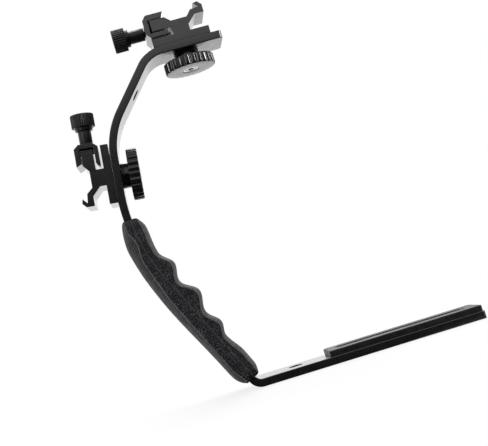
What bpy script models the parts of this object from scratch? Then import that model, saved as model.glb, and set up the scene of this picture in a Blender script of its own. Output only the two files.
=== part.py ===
"""Camera flash bracket: a bent flat bar with a moulded grip and two clamping accessory shoes.

The bar's centre line is a chain of straight runs and bends in the XZ plane, walked from the free
end of the base arm, through the grip, to the end of the top arm. Each shoe sits on a placement
frame read from that chain: local X runs along the bar towards the fixed hook, local Z points out
of the bar's outer face, and the origin is where the stud crosses that face.
The underside of the base arm lies on Z = 0, and X = 0 is on the land between the accessory hole
and the camera slot.
"""
import math

import bmesh
import bpy
from mathutils import Matrix, Vector

MM = 0.001

# Clearances shared by every fit
seat_gap = 0.3 * MM
running_gap = 0.2 * MM
cutter_overrun = 3.0 * MM

# Flat bar
bar_width = 25.0 * MM
bar_thickness = 4.5 * MM
bar_edge_chamfer = 0.4 * MM
bar_corner_radius = 2.5 * MM
bar_corner_steps = 5
base_end_x = 96.5 * MM
bend_past_accessory_hole = 20.4 * MM
bar_past_grip = 16.32 * MM
back_run = 18.9 * MM
brace_run = 27.9 * MM
top_run = 34.8 * MM
base_bend_radius = 6.0 * MM
grip_bend_radius = 97.3 * MM
shoulder_bend_radius = 43.9 * MM
top_bend_radius = 17.8 * MM
base_bend_turn = math.radians(64.5)
grip_bend_turn = math.radians(31.4)
shoulder_bend_turn = math.radians(34.7)
top_bend_turn = math.radians(49.4)
upper_stud_from_end = 21.4 * MM
lower_stud_above_middle = 0.65 * MM
station_tolerance_share = 0.001
BEND_STEPS = (10, 10, 10, 10)

# Holes in the bar
camera_slot_from_end = 8.0 * MM
camera_slot_length = 77.0 * MM
camera_slot_width = 6.8 * MM
accessory_hole_past_pad = 18.9 * MM
accessory_hole_radius = 3.7 * MM
brace_hole_radius = 3.3 * MM

# Camera pad
pad_from_end = 1.1 * MM
pad_side_margin = 0.35 * MM
pad_past_slot = 5.6 * MM
pad_height = 3.1 * MM
pad_corner_radius = 2.0 * MM
pad_edge_chamfer = 0.5 * MM

# Grip shells
grip_from_bend = 0.3 * MM
grip_length = 110.0 * MM
grip_half_width = 15.8 * MM
grip_seam_offset = 1.5 * MM
grip_end_round = 5.0 * MM
finger_end_round = 5.5 * MM
palm_end_round = 7.5 * MM
grip_end_wall = 0.9 * MM
finger_corner_radius = 2.8 * MM
palm_corner_radius = 6.5 * MM
grip_crown = 0.5 * MM
grip_crown_side_share = 1 / 3
grip_crown_drop_share = 1 / 3
finger_crest_height = 11.2 * MM
palm_swell_height = 8.8 * MM
finger_station_shares = (0.0, 0.12, 0.24, 0.312, 0.395, 0.502, 0.598, 0.692, 0.79, 0.93, 1.0)
finger_height_shares = (0.64, 0.66, 0.50, 0.79, 0.53, 1.0, 0.57, 0.98, 0.64, 0.73, 0.66)
palm_station_shares = (0.0, 0.12, 0.5, 0.85, 1.0)
palm_height_shares = (0.84, 0.88, 1.0, 0.82, 0.60)
grip_steps = 40
corner_steps = 4

# Grip screws
grip_screw_station_shares = (0.312, 0.692)
grip_screw_radius = 1.5 * MM
grip_screw_head_radius = 2.9 * MM
grip_screw_head_height = 2.0 * MM
grip_screw_head_depth = 5.2 * MM
grip_screw_dome = 0.5 * MM
grip_screw_reach = 6.2 * MM

# Shoe body, heights above the bar's outer face and lengths along the bar from the stud
shoe_width = 24.0 * MM
shoe_edge_chamfer = 0.25 * MM
flange_back_reach = 17.5 * MM
flange_hook_reach = 15.5 * MM
flange_thickness = 4.1 * MM
core_back_reach = 4.5 * MM
core_hook_reach = 5.0 * MM
jaw_slot_height = 4.3 * MM
tongue_thickness = 6.5 * MM
tongue_reach = 15.8 * MM
tongue_flat_end = 7.4 * MM
seat_depth = 2.9 * MM
seat_back_reach = 4.1 * MM
pocket_start = 8.1 * MM
pocket_end = 13.2 * MM
lip_tip_reach = 10.2 * MM
lip_height = 3.4 * MM
lip_crown_height = 3.9 * MM
lip_crown_reach = 12.9 * MM
lip_outer_height = 1.7 * MM
hook_reach = 15.1 * MM
hook_wall = 2.7 * MM
hook_knee_reach = 9.8 * MM
hook_root_height = 3.5 * MM

# Sliding jaw
jaw_guide_gap = 0.4 * MM
jaw_upper_arm_thickness = 3.1 * MM
jaw_lower_arm_thickness = 2.8 * MM
jaw_back_thickness = 2.7 * MM
jaw_end_gap = 1.1 * MM
jaw_travel_in = 0.7 * MM
jaw_upper_inner_tip = 8.8 * MM
jaw_upper_outer_tip = 7.3 * MM
jaw_lower_inner_tip = 8.1 * MM
jaw_lower_outer_tip = 5.6 * MM
jaw_chamfer_along = 2.3 * MM
jaw_chamfer_across = 2.7 * MM

# Clamp screw, knob and clip
clamp_thread_radius = 2.0 * MM
clamp_thread_in_tongue = 8.3 * MM
clamp_shank_radius = 3.7 * MM
clamp_shank_length = 8.8 * MM
clamp_collar_radius = 4.9 * MM
clamp_collar_thickness = 1.6 * MM
knob_radius = 6.6 * MM
knob_length = 7.45 * MM
knob_chamfer = 0.7 * MM
knob_rib_depth = 0.35 * MM
knob_ribs = 32
knob_spigot_radius = 2.4 * MM
knob_spigot_inset = 0.8 * MM
knob_face_dish_radius = 4.2 * MM
knob_face_dish_depth = 0.5 * MM
clip_radius = 3.4 * MM
clip_thickness = 0.6 * MM
clip_groove_depth = 0.5 * MM
clip_gap = 0.15 * MM
clip_opening = math.radians(70.0)
clip_steps = 20

# Mounting stud, washer, wheel and insert
stud_radius = 3.175 * MM
stud_depth_in_shoe = 8.7 * MM
stud_chamfer = 0.6 * MM
stud_end_inset = 0.3 * MM
stud_socket_across_flats = 3.175 * MM
stud_socket_depth = 3.0 * MM
washer_radius = 7.1 * MM
washer_thickness = 1.1 * MM
wheel_hub_radius = 7.1 * MM
wheel_hub_height = 2.6 * MM
wheel_radius = 14.5 * MM
wheel_thickness = 6.1 * MM
wheel_rim_chamfer = 0.8 * MM
wheel_rib_depth = 0.75 * MM
wheel_ribs = 24
wheel_bore_radius = 4.65 * MM
insert_recess = 0.8 * MM
insert_chamfer = 0.4 * MM

# Facets of round pieces and the angles that part smooth faces from sharp edges
round_segments = 32
small_segments = 20
rib_points = 3
knob_rib_points = 2
soft_edge_angle = math.radians(35.0)
grip_edge_angle = math.radians(50.0)
merge_share = 0.0001

# Lengths along the bar, from the free end of the base arm to the end of the grip's run
pad_length = camera_slot_from_end + camera_slot_length + pad_past_slot - pad_from_end
accessory_hole_from_end = pad_from_end + pad_length + accessory_hole_past_pad
base_run = accessory_hole_from_end + bend_past_accessory_hole
grip_run = grip_from_bend + grip_length + bar_past_grip - grip_bend_radius * grip_bend_turn

# Heights derived from the shoe's own sizes
flange_top = seat_gap + flange_thickness
tongue_bottom = flange_top + jaw_slot_height
tongue_top = tongue_bottom + tongue_thickness
seat_level = tongue_top - seat_depth
clamp_axis_height = tongue_bottom + tongue_thickness / 2
jaw_back_outer = tongue_reach + jaw_end_gap + jaw_back_thickness
wheel_top = bar_thickness + seat_gap + washer_thickness + seat_gap
wheel_face = wheel_top + wheel_hub_height + wheel_thickness
insert_end = wheel_face - insert_recess

# Colour, roughness and metallic value of each finish
FINISHES = {
    "painted_bar": ((0.018, 0.018, 0.020), 0.42, 0.0),
    "anodised_shoe": ((0.030, 0.030, 0.032), 0.38, 0.8),
    "black_screw": ((0.012, 0.012, 0.013), 0.35, 0.8),
    "bright_steel": ((0.55, 0.55, 0.56), 0.28, 1.0),
    "nickel_plate": ((0.58, 0.56, 0.52), 0.28, 1.0),
    "gloss_plastic": ((0.010, 0.010, 0.011), 0.22, 0.0),
    "grip_rubber": ((0.022, 0.023, 0.026), 0.62, 0.0),
    "pad_rubber": ((0.016, 0.016, 0.017), 0.66, 0.0),
}


def clear_scene():
    for item in list(bpy.data.objects):
        bpy.data.objects.remove(item, do_unlink=True)


def finish(name):
    """Return the named Principled material, made on its first use."""
    found = bpy.data.materials.get(name)
    if found:
        return found
    colour, roughness, metallic = FINISHES[name]
    made = bpy.data.materials.new(name)
    made.use_nodes = True
    shader = made.node_tree.nodes["Principled BSDF"]
    shader.inputs["Base Color"].default_value = (*colour, 1.0)
    shader.inputs["Roughness"].default_value = roughness
    shader.inputs["Metallic"].default_value = metallic
    return made


def add_object(name, mesh_data, parent=None, matrix=None):
    item = bpy.data.objects.new(name, mesh_data)
    bpy.context.scene.collection.objects.link(item)
    if parent:
        item.parent = parent
    if matrix:
        item.matrix_local = matrix
    return item


def mesh_from(work, name, edge_angle=soft_edge_angle):
    """Turn a bmesh into mesh data with outward faces and smooth shading over its soft edges."""
    bmesh.ops.recalc_face_normals(work, faces=work.faces)
    data = bpy.data.meshes.new(name)
    work.to_mesh(data)
    work.free()
    data.shade_smooth()
    data.set_sharp_from_angle(angle=edge_angle)
    return data


def dress(item, finish_name):
    item.data.materials.clear()
    item.data.materials.append(finish(finish_name))
    return item


def cut(target, cutter):
    """Subtract a hidden cutter from a target."""
    cutter.hide_render = True
    cutter.display_type = "WIRE"
    boolean = target.modifiers.new("cut_" + cutter.name, "BOOLEAN")
    boolean.operation = "DIFFERENCE"
    boolean.solver = "EXACT"
    boolean.object = cutter


def turned(name, profile, segments, closed=False):
    """Spin (radius, height) points round local Z; an open profile starts and ends on the axis."""
    work = bmesh.new()
    points = [work.verts.new((radius, 0.0, height)) for radius, height in profile]
    edges = [work.edges.new(pair) for pair in zip(points, points[1:])]
    if closed:
        edges.append(work.edges.new((points[-1], points[0])))
    bmesh.ops.spin(work, geom=points + edges, cent=(0, 0, 0), axis=(0, 0, 1),
                   angle=math.tau, steps=segments, use_merge=True)
    reach = max(radius for radius, height in profile)
    bmesh.ops.remove_doubles(work, verts=work.verts, dist=reach * merge_share)
    return mesh_from(work, name)


def turned_with_ribs(name, profile, ribs, points_per_rib, depth, inner_radius):
    """A closed turned ring whose outer skin, beyond inner_radius, is cut into straight ribs."""
    data = turned(name, profile, ribs * points_per_rib, closed=True)
    for vertex in data.vertices:
        radius = math.hypot(vertex.co.x, vertex.co.y)
        if radius <= inner_radius:
            continue
        turn = math.atan2(vertex.co.y, vertex.co.x)
        dip = depth * (1 + math.cos(turn * ribs)) / 2
        scale = (radius - dip) / radius
        vertex.co.x *= scale
        vertex.co.y *= scale
    data.set_sharp_from_angle(angle=soft_edge_angle)
    return data


def grow(work, face, move):
    """Extrude one face by a move."""
    grown = bmesh.ops.extrude_face_region(work, geom=[face])
    moved = [item for item in grown["geom"] if isinstance(item, bmesh.types.BMVert)]
    bmesh.ops.translate(work, verts=moved, vec=move)


def prism(outline, low, high):
    """A bmesh of an (x, y) outline extruded from one height to another."""
    work = bmesh.new()
    grow(work, work.faces.new([work.verts.new((x, y, low)) for x, y in outline]), (0, 0, high - low))
    return work


def extruded(name, outline, width, chamfer):
    """Extrude an (x, z) outline over the width, centred on Y, with a small chamfer on every edge."""
    work = bmesh.new()
    face = work.faces.new([work.verts.new((x, -width / 2, z)) for x, z in outline])
    grow(work, face, (0, width, 0))
    bmesh.ops.bevel(work, geom=work.edges[:], offset=chamfer, segments=1, affect="EDGES")
    return mesh_from(work, name)


def lofted(name, rings, edge_angle=soft_edge_angle):
    """Join equal rings of points into one closed skin with flat end caps."""
    work = bmesh.new()
    loops = [[work.verts.new(point) for point in ring] for ring in rings]
    for lower, upper in zip(loops, loops[1:]):
        for index in range(len(lower)):
            after = (index + 1) % len(lower)
            work.faces.new((lower[index], lower[after], upper[after], upper[index]))
    work.faces.new(loops[0])
    work.faces.new(loops[-1])
    return mesh_from(work, name, edge_angle)


def hole_cutter(name, radius, low, high, parent, matrix=None, segments=round_segments):
    profile = [(0.0, low), (radius, low), (radius, high), (0.0, high)]
    return add_object(name, turned(name, profile, segments), parent, matrix)


def slot_cutter(name, length, width, low, high, matrix):
    """A stadium-shaped cutter along local X."""
    radius = width / 2
    straight = length / 2 - radius
    steps = small_segments // 2
    outline = []
    for side in (1, -1):
        for step in range(steps + 1):
            turn = math.pi * step / steps - math.pi / 2
            outline.append((side * (straight + radius * math.cos(turn)), side * radius * math.sin(turn)))
    return add_object(name, mesh_from(prism(outline, low, high), name), matrix=matrix)


# Centre line of the bar

def centre_line():
    """List the runs and bends as (length, start point, start heading, radius, turn)."""
    pieces = []
    point = Vector((base_end_x, 0.0, bar_thickness / 2))
    heading = math.pi
    chain = [(base_run, base_bend_radius, base_bend_turn), (grip_run, grip_bend_radius, grip_bend_turn),
             (back_run, shoulder_bend_radius, shoulder_bend_turn),
             (brace_run, top_bend_radius, top_bend_turn), (top_run, 0.0, 0.0)]
    for run, radius, turn in chain:
        pieces.append((run, point.copy(), heading, 0.0, 0.0))
        point = point + Vector((math.cos(heading), 0.0, math.sin(heading))) * run
        if radius:
            pieces.append((radius * turn, point.copy(), heading, radius, turn))
            centre = point + Vector((math.sin(heading), 0.0, -math.cos(heading))) * radius
            heading -= turn
            point = centre - Vector((math.sin(heading), 0.0, -math.cos(heading))) * radius
    return pieces


LINE = centre_line()
LINE_LENGTH = sum(piece[0] for piece in LINE)


def station_after(piece_index):
    """Distance along the centre line to the end of a piece."""
    return sum(piece[0] for piece in LINE[:piece_index + 1])


def bar_frame(station, flipped=False):
    """Frame at a station: X along the bar, Z out of its outer face; flipped turns X back."""
    left = station
    for length, point, heading, radius, turn in LINE:
        if left <= length + seat_gap * station_tolerance_share:
            break
        left -= length
    if radius:
        centre = point + Vector((math.sin(heading), 0.0, -math.cos(heading))) * radius
        heading = heading - left / radius
        point = centre - Vector((math.sin(heading), 0.0, -math.cos(heading))) * radius
    else:
        point = point + Vector((math.cos(heading), 0.0, math.sin(heading))) * left
    along = Vector((math.cos(heading), 0.0, math.sin(heading)))
    out = Vector((-math.sin(heading), 0.0, math.cos(heading)))
    if flipped:
        along = -along
    side = out.cross(along)
    frame = Matrix((along, side, out)).transposed().to_4x4()
    frame.translation = point
    return frame


base_bend_end = station_after(1)
lower_stud_station = station_after(3) + back_run / 2 + lower_stud_above_middle
brace_hole_station = station_after(5) + brace_run / 2
upper_stud_station = LINE_LENGTH - upper_stud_from_end
grip_start = base_bend_end + grip_from_bend


def make_frame_bar():
    """Loft the bar's chamfered section along its centre line, rounded at both ends, then drill it."""
    corner = [bar_corner_radius * (1 - math.cos(math.pi / 2 * step / bar_corner_steps))
              for step in range(bar_corner_steps + 1)]
    stations = list(corner)
    reached = 0.0
    for index, piece in enumerate(LINE):
        steps = BEND_STEPS[index // 2] if index % 2 else 1
        stations += [reached + piece[0] * step / steps for step in range(1, steps + 1)]
        reached += piece[0]
    stations.pop()
    stations += [LINE_LENGTH - place for place in reversed(corner)]
    rings = []
    for station in stations:
        from_end = min(station, LINE_LENGTH - station)
        short = max(0.0, bar_corner_radius - from_end)
        half = bar_width / 2 - bar_corner_radius + math.sqrt(max(0.0, bar_corner_radius ** 2 - short ** 2))
        thick = bar_thickness / 2
        chamfer = bar_edge_chamfer
        section = [(half, chamfer - thick), (half, thick - chamfer), (half - chamfer, thick),
                   (chamfer - half, thick), (-half, thick - chamfer), (-half, chamfer - thick),
                   (chamfer - half, -thick), (half - chamfer, -thick)]
        frame = bar_frame(station)
        rings.append([frame @ Vector((0.0, y, z)) for y, z in section])
    bar = dress(add_object("frame_bar", lofted("frame_bar", rings)), "painted_bar")
    low = -bar_thickness / 2 - cutter_overrun
    high = bar_thickness / 2 + cutter_overrun
    holes = [("accessory_hole", accessory_hole_from_end, accessory_hole_radius),
             ("brace_hole", brace_hole_station, brace_hole_radius),
             ("lower_stud_hole", lower_stud_station, stud_radius + running_gap),
             ("upper_stud_hole", upper_stud_station, stud_radius + running_gap)]
    for index, share in enumerate(grip_screw_station_shares):
        holes.append(("bar_screw_hole_%d" % index, grip_start + grip_length * share,
                      grip_screw_radius + seat_gap))
    for name, station, radius in holes:
        cut(bar, hole_cutter(name, radius, low, high, None, bar_frame(station)))
    slot_middle = camera_slot_from_end + camera_slot_length / 2
    cut(bar, slot_cutter("camera_slot", camera_slot_length, camera_slot_width, low, high,
                         bar_frame(slot_middle)))
    return bar


def make_base_pad():
    """Pad on top of the base arm, with rounded corners, a rounded top edge and the slot."""
    half_length = pad_length / 2 - pad_corner_radius
    half_width = bar_width / 2 - pad_side_margin - pad_corner_radius
    outline = []
    for quarter, (side_x, side_y) in enumerate(((1, 1), (-1, 1), (-1, -1), (1, -1))):
        for step in range(corner_steps + 1):
            turn = math.pi / 2 * (quarter + step / corner_steps)
            outline.append((side_x * half_length + pad_corner_radius * math.cos(turn),
                            side_y * half_width + pad_corner_radius * math.sin(turn)))
    work = prism(outline, 0.0, pad_height)
    rim = [edge for edge in work.edges if all(vert.co.z > pad_height / 2 for vert in edge.verts)]
    bmesh.ops.bevel(work, geom=rim, offset=pad_edge_chamfer, segments=2, affect="EDGES")
    middle = pad_from_end + pad_length / 2
    place = Matrix.Translation((base_end_x - middle, 0.0, bar_thickness + seat_gap))
    pad = dress(add_object("base_pad", mesh_from(work, "base_pad"), matrix=place), "pad_rubber")
    slot_middle = camera_slot_from_end + camera_slot_length / 2
    slot_place = Matrix.Translation((base_end_x - slot_middle, 0.0, bar_thickness))
    cut(pad, slot_cutter("pad_slot", camera_slot_length, camera_slot_width,
                         -cutter_overrun, pad_height + cutter_overrun, slot_place))
    return pad


def eased(stations, heights, place):
    """Read a smooth curve through crests and hollows, level at each of them."""
    for (left, low), (right, high) in zip(zip(stations, heights), zip(stations[1:], heights[1:])):
        if place <= right:
            share = (place - left) / (right - left)
            return low + (high - low) * (1 - math.cos(math.pi * share)) / 2
    return heights[-1]


def end_fullness(from_end, reach):
    """Rise from 0 at the end to 1 at the reach, as a quarter of an ellipse does."""
    short = max(0.0, reach - from_end) / reach
    return math.sqrt(1 - short ** 2)


def grip_ring(share, side):
    """Section of one shell at a share of the grip's length; side is -1 for fingers, 1 for palm."""
    station = grip_start + grip_length * share
    from_end = min(share, 1 - share) * grip_length
    channel_half = bar_width / 2 + seat_gap
    channel_depth = bar_thickness / 2 + seat_gap
    if side < 0:
        height = finger_crest_height * eased(finger_station_shares, finger_height_shares, share)
        corner = finger_corner_radius
        fullness = end_fullness(from_end, finger_end_round)
    else:
        height = palm_swell_height * eased(palm_station_shares, palm_height_shares, share)
        corner = palm_corner_radius
        fullness = end_fullness(from_end, palm_end_round)
    end_height = channel_depth + grip_end_wall
    height = end_height + (height - end_height) * fullness
    end_half = channel_half + grip_end_wall
    half = end_half + (grip_half_width - end_half) * end_fullness(from_end, grip_end_round)
    seam = side * (-grip_seam_offset) + seat_gap / 2
    corner_n = min(corner, height - max(seam, channel_depth) - grip_end_wall / 2)
    corner_y = min(corner, half - channel_half / 2)
    crown = grip_crown * fullness
    outer = [(seam, half)]
    for step in range(corner_steps + 1):
        turn = math.pi / 2 * step / corner_steps
        outer.append((height - crown - corner_n + corner_n * math.sin(turn),
                      half - corner_y + corner_y * math.cos(turn)))
    outer.append((height - crown * grip_crown_drop_share, half * grip_crown_side_share))
    mirrored = [(n, -y) for n, y in reversed(outer)]
    channel = [(seam, -channel_half), (channel_depth, -channel_half),
               (channel_depth, channel_half), (seam, channel_half)]
    frame = bar_frame(station)
    return [frame @ Vector((0.0, y, side * n)) for n, y in outer + mirrored + channel]


def make_grip_shell(name, side):
    shares = [0.0]
    for step in range(1, corner_steps + 1):
        shares.append(grip_end_round / grip_length * (1 - math.cos(math.pi / 2 * step / corner_steps)))
    first = shares[-1]
    shares += [first + (1 - 2 * first) * step / grip_steps for step in range(1, grip_steps)]
    shares += [1 - share for share in reversed(shares[:corner_steps + 1])]
    rings = [grip_ring(share, side) for share in shares]
    shell = dress(add_object(name, lofted(name, rings, grip_edge_angle)), "grip_rubber")
    for index, share in enumerate(grip_screw_station_shares):
        frame = bar_frame(grip_start + grip_length * share)
        if side < 0:
            drill = hole_cutter("%s_pilot_%d" % (name, index), grip_screw_radius + seat_gap,
                                -grip_screw_reach - seat_gap, 0.0, None, frame, small_segments)
            cut(shell, drill)
        else:
            profile = [(0.0, -cutter_overrun), (grip_screw_radius + seat_gap, -cutter_overrun),
                       (grip_screw_radius + seat_gap, grip_screw_head_depth - seat_gap),
                       (grip_screw_head_radius + seat_gap, grip_screw_head_depth - seat_gap),
                       (grip_screw_head_radius + seat_gap, palm_swell_height + cutter_overrun),
                       (0.0, palm_swell_height + cutter_overrun)]
            cutter_name = "%s_counterbore_%d" % (name, index)
            cut(shell, add_object(cutter_name, turned(cutter_name, profile, small_segments), matrix=frame))
    return shell


def make_grip_screw(name, share):
    """Pan-head screw from the palm side, through the bar, into the finger shell."""
    head_top = grip_screw_head_depth + grip_screw_head_height
    profile = [(0.0, -grip_screw_reach), (grip_screw_radius / 2, -grip_screw_reach),
               (grip_screw_radius, -grip_screw_reach + grip_screw_radius),
               (grip_screw_radius, grip_screw_head_depth), (grip_screw_head_radius, grip_screw_head_depth),
               (grip_screw_head_radius, head_top - 2 * grip_screw_dome),
               (grip_screw_head_radius - grip_screw_dome, head_top - grip_screw_dome / 2), (0.0, head_top)]
    frame = bar_frame(grip_start + grip_length * share)
    screw = add_object(name, turned(name, profile, small_segments), matrix=frame)
    return dress(screw, "black_screw")


def shoe_outline():
    """Side view of the extruded shoe, as (along, height) points, hook on the positive side."""
    return [
        (-flange_back_reach, seat_gap),
        (flange_hook_reach, seat_gap),
        (flange_hook_reach, flange_top),
        (core_hook_reach, flange_top),
        (core_hook_reach, flange_top + hook_root_height),
        (hook_knee_reach, tongue_top - hook_wall),
        (hook_reach, tongue_top - hook_wall),
        (hook_reach, tongue_top + lip_outer_height),
        (lip_crown_reach, tongue_top + lip_crown_height),
        (lip_tip_reach, tongue_top + lip_height),
        (pocket_end, tongue_top),
        (pocket_start, tongue_top),
        (core_hook_reach, seat_level),
        (-seat_back_reach, seat_level),
        (-tongue_flat_end, tongue_top),
        (-tongue_reach, tongue_top),
        (-tongue_reach, tongue_bottom),
        (-core_back_reach, tongue_bottom),
        (-core_back_reach, flange_top),
        (-flange_back_reach, flange_top),
    ]


def jaw_outline():
    """Side view of the C-shaped jaw, with chamfered back corners and slanted arm ends."""
    inner_low = tongue_bottom - jaw_guide_gap
    inner_high = tongue_top + jaw_guide_gap
    low = inner_low - jaw_lower_arm_thickness
    high = inner_high + jaw_upper_arm_thickness
    inner_back = -(jaw_back_outer - jaw_back_thickness)
    return [
        (-jaw_back_outer + jaw_chamfer_along, low),
        (-jaw_lower_outer_tip, low),
        (-jaw_lower_inner_tip, inner_low),
        (inner_back, inner_low),
        (inner_back, inner_high),
        (-jaw_upper_inner_tip, inner_high),
        (-jaw_upper_outer_tip, high),
        (-jaw_back_outer + jaw_chamfer_along, high),
        (-jaw_back_outer, high - jaw_chamfer_across),
        (-jaw_back_outer, low + jaw_chamfer_across),
    ]


def clamp_place(along):
    """Frame on the clamp screw's axis, its Z pointing away from the hook."""
    return Matrix.Translation((-along, 0.0, clamp_axis_height)) @ Matrix.Rotation(-math.pi / 2, 4, "Y")


def make_shoe_body(prefix, parent):
    body = add_object(prefix + "_shoe_body",
                      extruded(prefix + "_shoe_body", shoe_outline(), shoe_width, shoe_edge_chamfer), parent)
    cut(body, hole_cutter(prefix + "_stud_socket", stud_radius + running_gap, -cutter_overrun,
                          stud_depth_in_shoe + seat_gap, parent))
    drill_depth = clamp_thread_in_tongue + jaw_travel_in + seat_gap
    cut(body, hole_cutter(prefix + "_clamp_drill", clamp_thread_radius + running_gap, -drill_depth,
                          cutter_overrun, parent, clamp_place(tongue_reach), small_segments))
    return dress(body, "anodised_shoe")


def make_clamp_jaw(prefix, parent):
    jaw = add_object(prefix + "_clamp_jaw",
                     extruded(prefix + "_clamp_jaw", jaw_outline(), shoe_width, shoe_edge_chamfer), parent)
    web = jaw_back_thickness - clip_thickness - 2 * clip_gap
    profile = [(0.0, -jaw_back_thickness - cutter_overrun),
               (clip_radius + running_gap, -jaw_back_thickness - cutter_overrun),
               (clip_radius + running_gap, -web), (clamp_thread_radius + running_gap, -web),
               (clamp_thread_radius + running_gap, cutter_overrun), (0.0, cutter_overrun)]
    drill_name = prefix + "_jaw_drill"
    cut(jaw, add_object(drill_name, turned(drill_name, profile, small_segments), parent,
                        clamp_place(jaw_back_outer)))
    return dress(jaw, "anodised_shoe")


def make_clamp_screw(prefix, parent):
    """Screw with a thick shank that bears on the jaw, a clip groove and a spigot for the knob."""
    groove_high = -(jaw_back_thickness - clip_thickness - clip_gap) + clip_gap
    groove_low = groove_high - clip_thickness - 2 * clip_gap
    tip = -(jaw_back_thickness + jaw_end_gap + clamp_thread_in_tongue)
    core = clamp_thread_radius - clip_groove_depth
    shank_top = seat_gap + clamp_shank_length
    knob_face = shank_top + seat_gap + clamp_collar_thickness + knob_length - knob_face_dish_depth
    spigot_top = knob_face - knob_spigot_inset
    profile = [(0.0, tip), (core, tip), (clamp_thread_radius, tip + clip_groove_depth),
               (clamp_thread_radius, groove_low), (core, groove_low), (core, groove_high),
               (clamp_thread_radius, groove_high), (clamp_thread_radius, seat_gap),
               (clamp_shank_radius, seat_gap), (clamp_shank_radius, shank_top),
               (knob_spigot_radius, shank_top), (knob_spigot_radius, spigot_top), (0.0, spigot_top)]
    screw = add_object(prefix + "_clamp_screw", turned(prefix + "_clamp_screw", profile, small_segments),
                       parent, clamp_place(jaw_back_outer))
    return dress(screw, "black_screw")


def make_clamp_knob(prefix, parent):
    """Knurled knob with a plain collar, open through its middle onto the screw's spigot."""
    bore = knob_spigot_radius + running_gap
    start = seat_gap + clamp_shank_length + seat_gap
    collar = start + clamp_collar_thickness
    end = collar + knob_length
    profile = [(bore, start), (clamp_collar_radius, start), (clamp_collar_radius, collar),
               (knob_radius - knob_chamfer, collar), (knob_radius, collar + knob_chamfer),
               (knob_radius, end - knob_chamfer), (knob_radius - knob_chamfer, end),
               (knob_face_dish_radius, end), (knob_face_dish_radius - knob_face_dish_depth,
                                              end - knob_face_dish_depth),
               (bore, end - knob_face_dish_depth)]
    skin = clamp_collar_radius + knob_rib_depth
    name = prefix + "_clamp_knob"
    data = turned_with_ribs(name, profile, knob_ribs, knob_rib_points, knob_rib_depth, skin)
    return dress(add_object(name, data, parent, clamp_place(jaw_back_outer)), "black_screw")


def make_retaining_clip(prefix, parent):
    """Open snap ring in the screw's groove, behind the jaw's web."""
    low = -(jaw_back_thickness - clip_gap)
    inner = clamp_thread_radius - clip_groove_depth + running_gap
    outline = []
    for radius, order in ((clip_radius, 1), (inner, -1)):
        for step in range(clip_steps + 1)[::order]:
            turn = clip_opening / 2 + (math.tau - clip_opening) * step / clip_steps
            outline.append((radius * math.cos(turn), radius * math.sin(turn)))
    work = prism(outline, low, low + clip_thickness)
    name = prefix + "_retaining_clip"
    clip = add_object(name, mesh_from(work, name), parent, clamp_place(jaw_back_outer))
    return dress(clip, "bright_steel")


def make_mounting_stud(prefix, parent):
    """Set screw with a hexagon socket in the end that the wheel's insert covers."""
    end = -insert_end + stud_end_inset
    profile = [(0.0, end), (stud_radius - stud_chamfer, end), (stud_radius, end + stud_chamfer),
               (stud_radius, stud_depth_in_shoe - stud_chamfer),
               (stud_radius - stud_chamfer, stud_depth_in_shoe), (0.0, stud_depth_in_shoe)]
    stud = add_object(prefix + "_mounting_stud",
                      turned(prefix + "_mounting_stud", profile, round_segments), parent)
    socket_radius = stud_socket_across_flats / 2 / math.cos(math.pi / 6)
    cut(stud, hole_cutter(prefix + "_stud_hexagon", socket_radius, end - cutter_overrun,
                          end + stud_socket_depth, parent, segments=6))
    return dress(stud, "bright_steel")


def make_lock_washer(prefix, parent):
    top = -bar_thickness - seat_gap
    low = top - washer_thickness
    bore = stud_radius + running_gap
    profile = [(bore, low), (washer_radius, low), (washer_radius, top), (bore, top)]
    washer = add_object(prefix + "_lock_washer",
                        turned(prefix + "_lock_washer", profile, small_segments, closed=True), parent)
    return dress(washer, "black_screw")


def make_lock_wheel(prefix, parent):
    """Ribbed hand wheel with a hub towards the bar and a flat outer face."""
    hub_low = -wheel_top - wheel_hub_height
    face = -wheel_face
    rim = wheel_rim_chamfer
    profile = [(wheel_bore_radius, face), (wheel_radius - rim, face), (wheel_radius, face + rim),
               (wheel_radius, hub_low - rim), (wheel_radius - rim, hub_low), (wheel_hub_radius, hub_low),
               (wheel_hub_radius, -wheel_top), (wheel_bore_radius, -wheel_top)]
    skin = (wheel_hub_radius + wheel_radius) / 2
    data = turned_with_ribs(prefix + "_lock_wheel", profile, wheel_ribs, rib_points, wheel_rib_depth, skin)
    return dress(add_object(prefix + "_lock_wheel", data, parent), "gloss_plastic")


def make_wheel_insert(prefix, parent):
    outer = wheel_bore_radius - seat_gap
    bore = stud_radius + running_gap
    profile = [(bore + insert_chamfer, -insert_end), (outer, -insert_end), (outer, -wheel_top),
               (bore, -wheel_top), (bore, insert_chamfer - insert_end)]
    insert = add_object(prefix + "_wheel_insert",
                        turned(prefix + "_wheel_insert", profile, small_segments, closed=True), parent)
    return dress(insert, "nickel_plate")


def make_shoe_unit(prefix, station, flipped):
    """One clamping shoe with its stud and hand wheel, on its own placement frame."""
    frame = bar_frame(station, flipped)
    place = bpy.data.objects.new(prefix + "_shoe_frame", None)
    bpy.context.scene.collection.objects.link(place)
    place.matrix_world = frame @ Matrix.Translation((0.0, 0.0, bar_thickness / 2))
    for maker in (make_shoe_body, make_clamp_jaw, make_clamp_screw, make_clamp_knob, make_retaining_clip,
                  make_mounting_stud, make_lock_washer, make_lock_wheel, make_wheel_insert):
        maker(prefix, place)


def build():
    clear_scene()
    make_frame_bar()
    make_base_pad()
    make_grip_shell("grip_finger_half", -1)
    make_grip_shell("grip_palm_half", 1)
    for name, share in zip(("grip_screw_lower", "grip_screw_upper"), grip_screw_station_shares):
        make_grip_screw(name, share)
    make_shoe_unit("upper", upper_stud_station, False)
    make_shoe_unit("lower", lower_stud_station, True)
    bpy.context.view_layer.update()


build()
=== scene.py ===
"""Looks of the camera flash bracket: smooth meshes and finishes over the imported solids."""
import math

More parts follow.
